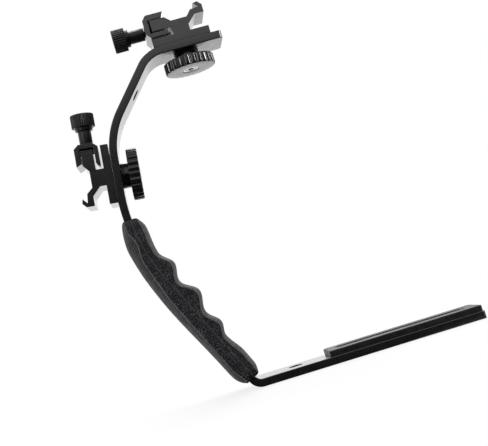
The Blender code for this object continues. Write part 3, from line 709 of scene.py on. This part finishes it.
def make_grip(name, node, side):
    """One shell, on the finger side (-1) or the palm side (1), with a painted highlight along its seam and
    edges.
    """
    end = [PALM_END_ROUND / GRIP_LENGTH * (1 - math.cos(math.pi / 2 * step / GRIP_END_STEPS))
           for step in range(GRIP_END_STEPS + 1)]
    first = end[-1]
    shares = end + [first + (1 - 2 * first) * step / GRIP_STEPS for step in range(1, GRIP_STEPS)]
    shares += [1 - share for share in reversed(end)]
    # Shares of painted highlight for each point of a section, on the seam and along the edge line
    half = SEAM_HIGHLIGHT + (0.0,) * len(FLAT_PLACES) + EDGE_HIGHLIGHT + (0.0,) * CROWN_STEPS
    highlight_marks = half + (0.0,) + half[::-1]
    shell = loft(name, [grip_ring(share, side) for share in shares], GRIP_SHARP_DEGREES, highlight_marks)
    cutters = []
    for index, share in enumerate(GRIP_SCREWS):
        placed = bar_frame(GRIP_START + GRIP_LENGTH * share)
        label = "%s_hole_%d" % (name, index)
        if side < 0:
            cutters.append(hole(label, GRIP_SCREW_RADIUS + GAP, -GRIP_SCREW_REACH - GAP, 0.0, placed))
        else:
            profile = [(0.0, -OVERRUN), (GRIP_SCREW_RADIUS + GAP, -OVERRUN),
                       (GRIP_SCREW_RADIUS + GAP, GRIP_HEAD_DEPTH - GAP),
                       (GRIP_HEAD_RADIUS + GAP, GRIP_HEAD_DEPTH - GAP),
                       (GRIP_HEAD_RADIUS + GAP, PALM_SWELL + OVERRUN), (0.0, PALM_SWELL + OVERRUN)]
            cutters.append(revolve(label, profile, placed, CUT_SEGMENTS))
    dress(carve(shell, cutters, GRIP_SHARP_DEGREES), "frame", "grip_rubber", node)


def make_grip_screw(name, node, share):
    """Pan-head screw with a cross recess."""
    crown = GRIP_HEAD_HEIGHT / 2
    top = GRIP_HEAD_DEPTH + GRIP_HEAD_HEIGHT
    profile = [(0.0, -GRIP_SCREW_REACH), (GRIP_SCREW_RADIUS / 2, -GRIP_SCREW_REACH),
               (GRIP_SCREW_RADIUS, GRIP_SCREW_RADIUS - GRIP_SCREW_REACH),
               (GRIP_SCREW_RADIUS, GRIP_HEAD_DEPTH), (GRIP_HEAD_RADIUS, GRIP_HEAD_DEPTH),
               (GRIP_HEAD_RADIUS, top - crown)]
    for step in range(1, GRIP_HEAD_STEPS):
        turn = math.pi / 2 * step / GRIP_HEAD_STEPS
        profile.append((GRIP_HEAD_RADIUS * math.cos(turn), top - crown * (1 - math.sin(turn))))
    profile.append((0.0, top))
    placed = bar_frame(GRIP_START + GRIP_LENGTH * share)
    screw = revolve(name, profile, placed, CUT_SEGMENTS)
    arm = GRIP_HEAD_RADIUS * CROSS_ARM_SHARE
    width = GRIP_HEAD_RADIUS * CROSS_WIDTH_SHARE
    cross = [(width, -width), (arm, -width), (arm, width), (width, width), (width, arm), (-width, arm),
             (-width, width), (-arm, width), (-arm, -width), (-width, -width), (-width, -arm), (width, -arm)]
    bottom = top - GRIP_HEAD_HEIGHT * CROSS_DEPTH_SHARE
    cutter = extrude(name + "_cross", cross, bottom, top + OVERRUN, placed)
    dress(carve(screw, [cutter]), "frame", "black_screw", node)


# Shoe

def shoe_outline():
    """Side of the shoe: flange, core and hook, then the seat and the tongue."""
    def above_tongue(place):
        return (place[0], TONGUE_TOP + place[1])

    return [
        (-FLANGE_BACK, CLOSE),
        (FLANGE_HOOK, CLOSE),
        (FLANGE_HOOK, FLANGE_TOP),
        (CORE_HOOK, FLANGE_TOP),
        (CORE_HOOK, FLANGE_TOP + HOOK_NECK_RISE),
        (HOOK_UNDER_REACH, TONGUE_TOP - HOOK_UNDER_DROP),
        (HOOK_REACH, TONGUE_TOP - HOOK_UNDER_DROP),
        (HOOK_REACH, TONGUE_TOP + HOOK_SHOULDER_RISE),
        above_tongue(HOOK_TOP),
        above_tongue(HOOK_LIP),
        above_tongue(POCKET_FAR),
        above_tongue(POCKET_NEAR),
        (CORE_HOOK, SEAT_LEVEL),
        (-SEAT_BACK, SEAT_LEVEL),
        (-TONGUE_RAMP_BACK, TONGUE_TOP),
        (-TONGUE_REACH, TONGUE_TOP),
        (-TONGUE_REACH, TONGUE_LOW),
        (-CORE_BACK, TONGUE_LOW),
        (-CORE_BACK, FLANGE_TOP),
        (-FLANGE_BACK, FLANGE_TOP),
    ]


def jaw_outline():
    """Side of the jaw: a C that opens towards the tongue."""
    inner_low = TONGUE_LOW - JAW_LOWER_GAP
    inner_high = TONGUE_TOP + JAW_UPPER_GAP
    low = inner_low - JAW_LOWER_ARM
    high = inner_high + JAW_UPPER_ARM
    inner_back = JAW_BACK - JAW_OUTER
    corner_x, corner_z = JAW_CORNER
    return [
        (corner_x - JAW_OUTER, low),
        (-JAW_LOWER_END[0], low),
        (-JAW_LOWER_END[1], inner_low),
        (inner_back, inner_low),
        (inner_back, inner_high),
        (-JAW_UPPER_END[1], inner_high),
        (-JAW_UPPER_END[0], high),
        (corner_x - JAW_OUTER, high),
        (-JAW_OUTER, high - corner_z),
        (-JAW_OUTER, low + corner_z),
    ]


def thread(low, high, pitch):
    """A radius rule that cuts a right-hand thread between two heights."""
    depth = pitch * THREAD_DEPTH_SHARE

    def reshape(radius, height, turn):
        if not low < height < high:
            return radius
        fade = min(1.0, (height - low) / pitch, (high - height) / pitch)
        wave = abs(((height / pitch - turn / TAU) % 1.0) * 2 - 1)
        return radius - depth * fade * wave
    return reshape


def rows_between(radius, low, high, step):
    """Points up a straight wall, close enough together to carry a thread."""
    count = max(1, round((high - low) / step))
    return [(radius, low + (high - low) * index / count) for index in range(count + 1)]


def make_shoe_parts(prefix, placed):
    """Shoe body and jaw; returns the clamp screw's frame, with Z out of the jaw."""
    def along_clamp(place):
        return placed @ Matrix.Translation((place, 0.0, CLAMP_HEIGHT)) @ Matrix.Rotation(-math.pi / 2, 4, "Y")

    half = SHOE_WIDTH / 2
    bore = CLAMP_THREAD + RUNNING_GAP
    body = extrude(prefix + "_shoe", shoe_outline(), -half, half, placed, upright=True, edge=SHOE_EDGE)
    cutters = [hole(prefix + "_socket", STUD_RADIUS + RUNNING_GAP, -OVERRUN, STUD_IN_SHOE + GAP, placed),
               hole(prefix + "_drill", bore, -CLAMP_REACH - JAW_TRAVEL_IN - GAP, OVERRUN,
                    along_clamp(-TONGUE_REACH))]
    dress(even(carve(body, cutters)), prefix + "_shoe", "anodised_shoe", prefix + "_shoe_body")
    # Painted shade: the tongue's end, in the gap before the jaw, darker than the body
    matt_shade_walls(body, -TONGUE_REACH - GAP, GAP - TONGUE_REACH)
    screw_axis = along_clamp(-JAW_OUTER)
    jaw = extrude(prefix + "_jaw", jaw_outline(), -half, half, placed, upright=True, edge=SHOE_EDGE)
    web = JAW_BACK - CLIP_THICK - 2 * CLIP_GAP
    profile = [(0.0, -JAW_BACK - OVERRUN), (COUNTERBORE_RADIUS, -JAW_BACK - OVERRUN),
               (COUNTERBORE_RADIUS, -web), (bore, -web), (bore, OVERRUN), (0.0, OVERRUN)]
    cutter = revolve(prefix + "_counterbore", profile, screw_axis, CUT_SEGMENTS)
    dress(even(carve(jaw, [cutter])), prefix + "_jaw", "anodised_shoe", prefix + "_clamp_jaw")
    # Painted shade: the jaw's inner back wall darker than the jaw
    matt_shade_walls(jaw, JAW_BACK - JAW_OUTER - GAP, JAW_BACK - JAW_OUTER + GAP)
    return screw_axis


def make_clamp_screw(prefix, axis):
    """Threaded tip, clip groove, thick shank with eased ends, and the knob's spigot."""
    tip = -(JAW_BACK + JAW_END_GAP + CLAMP_REACH)
    groove_high = -(JAW_BACK - CLIP_THICK - 2 * CLIP_GAP)
    groove_low = groove_high - CLIP_THICK - 2 * CLIP_GAP
    core = CLAMP_THREAD - CLIP_GROOVE
    shank_top = GAP + SHANK_LENGTH
    spigot_top = shank_top + GAP + COLLAR_THICK + KNOB_LENGTH - KNOB_DISH - SPIGOT_INSET
    profile = [(0.0, tip), (core, tip)]
    thread_low = tip + CLIP_GROOVE
    thread_high = groove_low - GAP
    profile += rows_between(CLAMP_THREAD, thread_low, thread_high, CLAMP_PITCH / CLAMP_ROWS_A_TURN)
    profile += [(core, groove_low), (core, groove_high), (CLAMP_THREAD, groove_high), (CLAMP_THREAD, GAP)]
    profile += fillet([(CLAMP_THREAD, GAP), (SHANK_RADIUS, GAP), (SHANK_RADIUS, shank_top),
                       (SPIGOT_RADIUS, shank_top)], GAP, closed=False)[1:]
    profile += fillet([(SPIGOT_RADIUS, shank_top), (SPIGOT_RADIUS, spigot_top), (0.0, spigot_top)],
                      GAP, closed=False)[1:]
    screw = revolve(prefix + "_screw", profile, axis, CLAMP_SEGMENTS,
                    reshape=thread(thread_low, thread_high, CLAMP_PITCH))
    dress(screw, prefix + "_screw", "black_screw", prefix + "_clamp_screw")


def make_knob(prefix, axis):
    """Knurled knob: straight ribs that run out on rounded rims, a plain collar and a dished face."""
    bore = SPIGOT_RADIUS + RUNNING_GAP
    start = GAP + SHANK_LENGTH + CLOSE
    collar = GAP + SHANK_LENGTH + GAP + COLLAR_THICK
    end = collar + KNOB_LENGTH
    rim, dish = KNOB_DISH_RADII
    outline = [(bore, start), (COLLAR_RADIUS, start), (COLLAR_RADIUS, collar), (KNOB_RADIUS, collar),
               (KNOB_RADIUS, end), (rim, end), (dish, end - KNOB_DISH), (bore, end - KNOB_DISH)]

    def ribs(radius, height, turn):
        if radius < COLLAR_RADIUS + KNOB_RIB_DEPTH or not collar - GAP < height < end + GAP:
            return radius
        inward = min(1.0, (radius - COLLAR_RADIUS) / (KNOB_RADIUS - COLLAR_RADIUS))
        return radius - KNOB_RIB_DEPTH * inward * (1 - math.cos(turn * KNOB_RIBS)) / 2

    profile = fillet(outline, KNOB_ROUNDS, KNOB_ROUND_STEPS)
    knob = revolve(prefix + "_knob", profile, axis, KNOB_RIBS * KNOB_RIB_SEGMENTS, closed=True, reshape=ribs)
    dress(knob, prefix + "_screw", "black_screw", prefix + "_clamp_knob")


def make_stud(prefix, placed):
    """Threaded stud with a hexagon socket in the end that shows in the wheel's face."""
    end = STUD_INSET - RING_END
    thread_low = end + STUD_TIP
    thread_high = STUD_IN_SHOE - STUD_TIP
    neck = STUD_RADIUS - STUD_TIP
    profile = [(0.0, end), (neck, end)]
    profile += rows_between(STUD_RADIUS, thread_low, thread_high, STUD_PITCH / STUD_ROWS_A_TURN)
    profile += [(neck, STUD_IN_SHOE), (0.0, STUD_IN_SHOE)]
    stud = revolve(prefix + "_stud", profile, placed, STUD_SEGMENTS,
                   reshape=thread(thread_low, thread_high, STUD_PITCH))
    reach = STUD_SOCKET / 2 / math.cos(math.pi / 6)
    turns = [TAU * corner / 6 for corner in range(6)]
    hexagon = [(reach * math.cos(turn), reach * math.sin(turn)) for turn in turns]
    socket = extrude(prefix + "_hexagon", hexagon, end - OVERRUN, end + STUD_SOCKET_DEPTH, placed)
    dress(carve(stud, [socket]), prefix + "_shoe", "bright_steel", prefix + "_mounting_stud")


def make_washer(prefix, placed):
    """Washer between the bar and the wheel's hub."""
    top = -BAR_THICK - CLOSE
    low = -BAR_THICK - GAP - WASHER_THICK
    bore = STUD_RADIUS + RUNNING_GAP
    outline = [(bore, low), (WASHER_RADIUS, low), (WASHER_RADIUS, top), (bore, top)]
    washer = revolve(prefix + "_washer", fillet(outline, WASHER_ROUND), placed, closed=True)
    dress(washer, prefix + "_washer", "black_screw", prefix + "_lock_washer")


def make_wheel(prefix, placed):
    """Hand wheel: broad lobes parted by narrow grooves, on a hub, bored for its insert."""
    hub_low = -WHEEL_TOP - HUB_HEIGHT
    face = -WHEEL_FACE
    hub_top = GAP - CLOSE - WHEEL_TOP
    outline = [(WHEEL_BORE, face), (WHEEL_RADIUS, face), (WHEEL_RADIUS, hub_low), (HUB_RADIUS, hub_low),
               (HUB_RADIUS, hub_top), (WHEEL_BORE, hub_top)]
    fade_radius = (HUB_RADIUS + WHEEL_RADIUS) / 2

    def ribs(radius, height, turn):
        if radius < fade_radius:
            return radius
        inward = ((radius - fade_radius) / (WHEEL_RADIUS - fade_radius)) ** WHEEL_FADE_POWER
        groove = ((1 + math.cos(turn * WHEEL_RIBS)) / 2) ** WHEEL_GROOVE_POWER
        return radius - WHEEL_RIB_DEPTH * inward * groove

    profile = fillet(outline, WHEEL_ROUNDS, WHEEL_ROUND_STEPS)
    wheel = revolve(prefix + "_wheel", profile, placed, WHEEL_RIBS * WHEEL_RIB_SEGMENTS, closed=True,
                    reshape=ribs)
    dress(wheel, prefix + "_wheel", "gloss_plastic", prefix + "_lock_wheel")


def make_insert(prefix, placed):
    """Ring with a chamfered bore, nearly flush with the wheel's face."""
    outer = WHEEL_BORE - GAP
    bore = STUD_RADIUS + RUNNING_GAP
    outline = [(bore + RING_CHAMFER, -RING_END), (outer, -RING_END), (outer, -WHEEL_TOP), (bore, -WHEEL_TOP),
               (bore, RING_CHAMFER - RING_END)]
    insert = revolve(prefix + "_insert", fillet(outline, RING_ROUND), placed, closed=True)
    dress(insert, prefix + "_wheel", "nickel_plate", prefix + "_wheel_insert")


def make_unit(prefix, station, flipped):
    """One shoe with all that it carries; its retaining clip keeps the CAD form and gets a plated finish."""
    placed = bar_frame(station, flipped) @ Matrix.Translation((0.0, 0.0, BAR_THICK / 2))
    axis = make_shoe_parts(prefix, placed)
    make_clamp_screw(prefix, axis)
    make_knob(prefix, axis)
    for maker in (make_stud, make_washer, make_wheel, make_insert):
        maker(prefix, placed)
    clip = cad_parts[prefix + "_retaining_clip"]
    clip.data.materials.clear()
    clip.data.materials.append(FINISH["bright_steel"])


# Studio: camera, floor, backdrop, and the rays that see them

CAMERA_RIGHT = (0.9559, -0.0729, -0.2845)
CAMERA_UP = (0.2785, -0.0822, 0.9569)
CAMERA_PLACE = (-0.068, -0.5342, 0.05795)
CAMERA_SENSOR = 36.0
CAMERA_LENS = 70.45
CAMERA_CLIP = 0.01
FLOOR_HALF = 6.0
FLOOR_GREY = 0.93
FLOOR_ROUGHNESS = 0.9
FLOOR_GLOW = 1.02
GLOW_SHARES = (0.8, 1.0)
GLOW_DISTANCES = (0.2, 0.5)
LAMP_AIM = (0.0, 0.0, 0.1)

# Backdrop: how bright it looks, and the directions between which that changes
SKY_LIGHT = 0.4
FRONT_LOW = 0.02
FRONT_HIGH = 1.0
FRONT_FROM = 0.17
FRONT_TO = 0.27
FRONT_SIDE = (-0.35, 0.2)
CAMERA_RAYS = ("Is Camera Ray",)
SEEN_RAYS = ("Is Camera Ray", "Is Glossy Ray", "Is Transmission Ray")

# Lamps: name, place, size and power
LAMPS = (("key_lamp", (-0.2, 0.2, 1.0), 0.5, 5.0),
         ("side_lamp", (1.15, -0.28, 0.46), 0.22, 5.0),
         ("left_lamp", (-0.82, -0.84, 0.46), 0.2, 1.2),
         ("back_lamp", (0.2, 1.2, 0.9), 0.8, 4.0))


def make_camera():
    """The photograph's camera: its place, its axes and its field of view."""
    right = Vector(CAMERA_RIGHT)
    up = Vector(CAMERA_UP)
    back = right.cross(up).normalized()
    view = Matrix((right.normalized(), back.cross(right).normalized(), back)).transposed().to_4x4()
    view.translation = CAMERA_PLACE
    data = bpy.data.cameras.new("photo_camera")
    data.sensor_width = CAMERA_SENSOR
    data.lens = CAMERA_LENS
    data.clip_start = CAMERA_CLIP
    camera = bpy.data.objects.new("photo_camera", data)
    bpy.context.scene.collection.objects.link(camera)
    camera.matrix_world = view
    bpy.context.scene.camera = camera


def ray_share(tree, kinds):
    """1 for rays of the given kinds, and 0 for all others."""
    path = add(tree, "ShaderNodeLightPath")
    total = path.outputs[kinds[0]]
    for kind in kinds[1:]:
        both = add(tree, "ShaderNodeMath", {"operation": "ADD", "use_clamp": True})
        tree.links.new(total, both.inputs[0])
        tree.links.new(path.outputs[kind], both.inputs[1])
        total = both.outputs[0]
    return total


def blended(tree, factor, low, high):
    """Mix two numbers, each a socket or a plain value."""
    mixed = add(tree, "ShaderNodeMix")
    tree.links.new(factor, mixed.inputs[0])
    for index, value in ((2, low), (3, high)):
        if isinstance(value, float):
            mixed.inputs[index].default_value = value
        else:
            tree.links.new(value, mixed.inputs[index])
    return mixed.outputs[0]


def make_world():
    """White behind the object; in front of it a dark room below a bright ceiling, as reflections see it."""
    world = bpy.data.worlds.new("studio")
    bpy.context.scene.world = world
    world.use_nodes = True
    tree = world.node_tree
    parts = add(tree, "ShaderNodeSeparateXYZ")
    tree.links.new(add(tree, "ShaderNodeTexCoord").outputs["Generated"], parts.inputs[0])
    front = spread(tree, parts.outputs["Z"], FRONT_LOW, FRONT_HIGH, FRONT_FROM, FRONT_TO)
    behind = spread(tree, parts.outputs["Y"], 0.0, 1.0, *FRONT_SIDE)
    room = blended(tree, behind, front, 1.0)
    white = blended(tree, ray_share(tree, CAMERA_RAYS), room, 1.0)
    level = blended(tree, ray_share(tree, SEEN_RAYS), SKY_LIGHT, white)
    tree.links.new(level, tree.nodes["Background"].inputs["Strength"])
    tree.nodes["Background"].inputs["Color"].default_value = (1.0, 1.0, 1.0, 1.0)


def make_floor():
    """Pale paper, lit as a backdrop all over but for a soft shadow round the object."""
    work = bmesh.new()
    bmesh.ops.create_grid(work, x_segments=1, y_segments=1, size=FLOOR_HALF)
    floor = piece_from(work, "floor")
    floor.location.z = -GAP
    made = bpy.data.materials.new("floor_paper")
    made.use_nodes = True
    tree = made.node_tree
    shader = tree.nodes["Principled BSDF"]
    shader.inputs["Base Color"].default_value = (FLOOR_GREY, FLOOR_GREY, FLOOR_GREY, 1.0)
    shader.inputs["Roughness"].default_value = FLOOR_ROUGHNESS
    place = add(tree, "ShaderNodeTexCoord").outputs["Object"]
    heading = add(tree, "ShaderNodeVectorMath", {"operation": "NORMALIZE"})
    tree.links.new(place, heading.inputs[0])
    parts = add(tree, "ShaderNodeSeparateXYZ")
    tree.links.new(heading.outputs[0], parts.inputs[0])
    distance = add(tree, "ShaderNodeVectorMath", {"operation": "LENGTH"})
    tree.links.new(place, distance.inputs[0])
    room = spread(tree, parts.outputs["Y"], FRONT_LOW, 1.0, *FRONT_SIDE)
    glow = add(tree, "ShaderNodeEmission")
    from_camera = ray_share(tree, CAMERA_RAYS)
    tree.links.new(blended(tree, from_camera, room, FLOOR_GLOW), glow.inputs["Strength"])
    paper = spread(tree, distance.outputs["Value"], *GLOW_SHARES, *GLOW_DISTANCES)
    share = blended(tree, from_camera, 1.0, paper)
    lit = blended(tree, ray_share(tree, SEEN_RAYS), 0.0, share)
    both = add(tree, "ShaderNodeMixShader")
    tree.links.new(lit, both.inputs[0])
    tree.links.new(shader.outputs[0], both.inputs[1])
    tree.links.new(glow.outputs[0], both.inputs[2])
    tree.links.new(both.outputs[0], tree.nodes["Material Output"].inputs["Surface"])
    floor.data.materials.append(made)


def make_lamp(name, place, size, power):
    """A round lamp that faces the object."""
    data = bpy.data.lights.new(name, "AREA")
    data.shape = "DISK"
    data.size = size
    data.energy = power
    lamp = bpy.data.objects.new(name, data)
    bpy.context.scene.collection.objects.link(lamp)
    lamp.location = place
    aim = Vector(LAMP_AIM) - Vector(place)
    lamp.rotation_euler = aim.to_track_quat("-Z", "Y").to_euler()


def main():
    """Set up the studio and build every piece."""
    make_camera()
    make_world()
    make_floor()
    for name, place, size, power in LAMPS:
        make_lamp(name, place, size, power)
    make_bar()
    make_pad()
    make_grip("finger_shell", "grip_finger_half", -1)
    make_grip("palm_shell", "grip_palm_half", 1)
    make_grip_screw("palm_screw_lower", "grip_screw_lower", GRIP_SCREWS[0])
    make_grip_screw("palm_screw_upper", "grip_screw_upper", GRIP_SCREWS[1])
    make_unit("upper", UPPER_STUD, False)
    make_unit("lower", LOWER_STUD, True)
    scene = bpy.context.scene
    scene.view_settings.view_transform = "Standard"
    bpy.context.view_layer.update()


main()
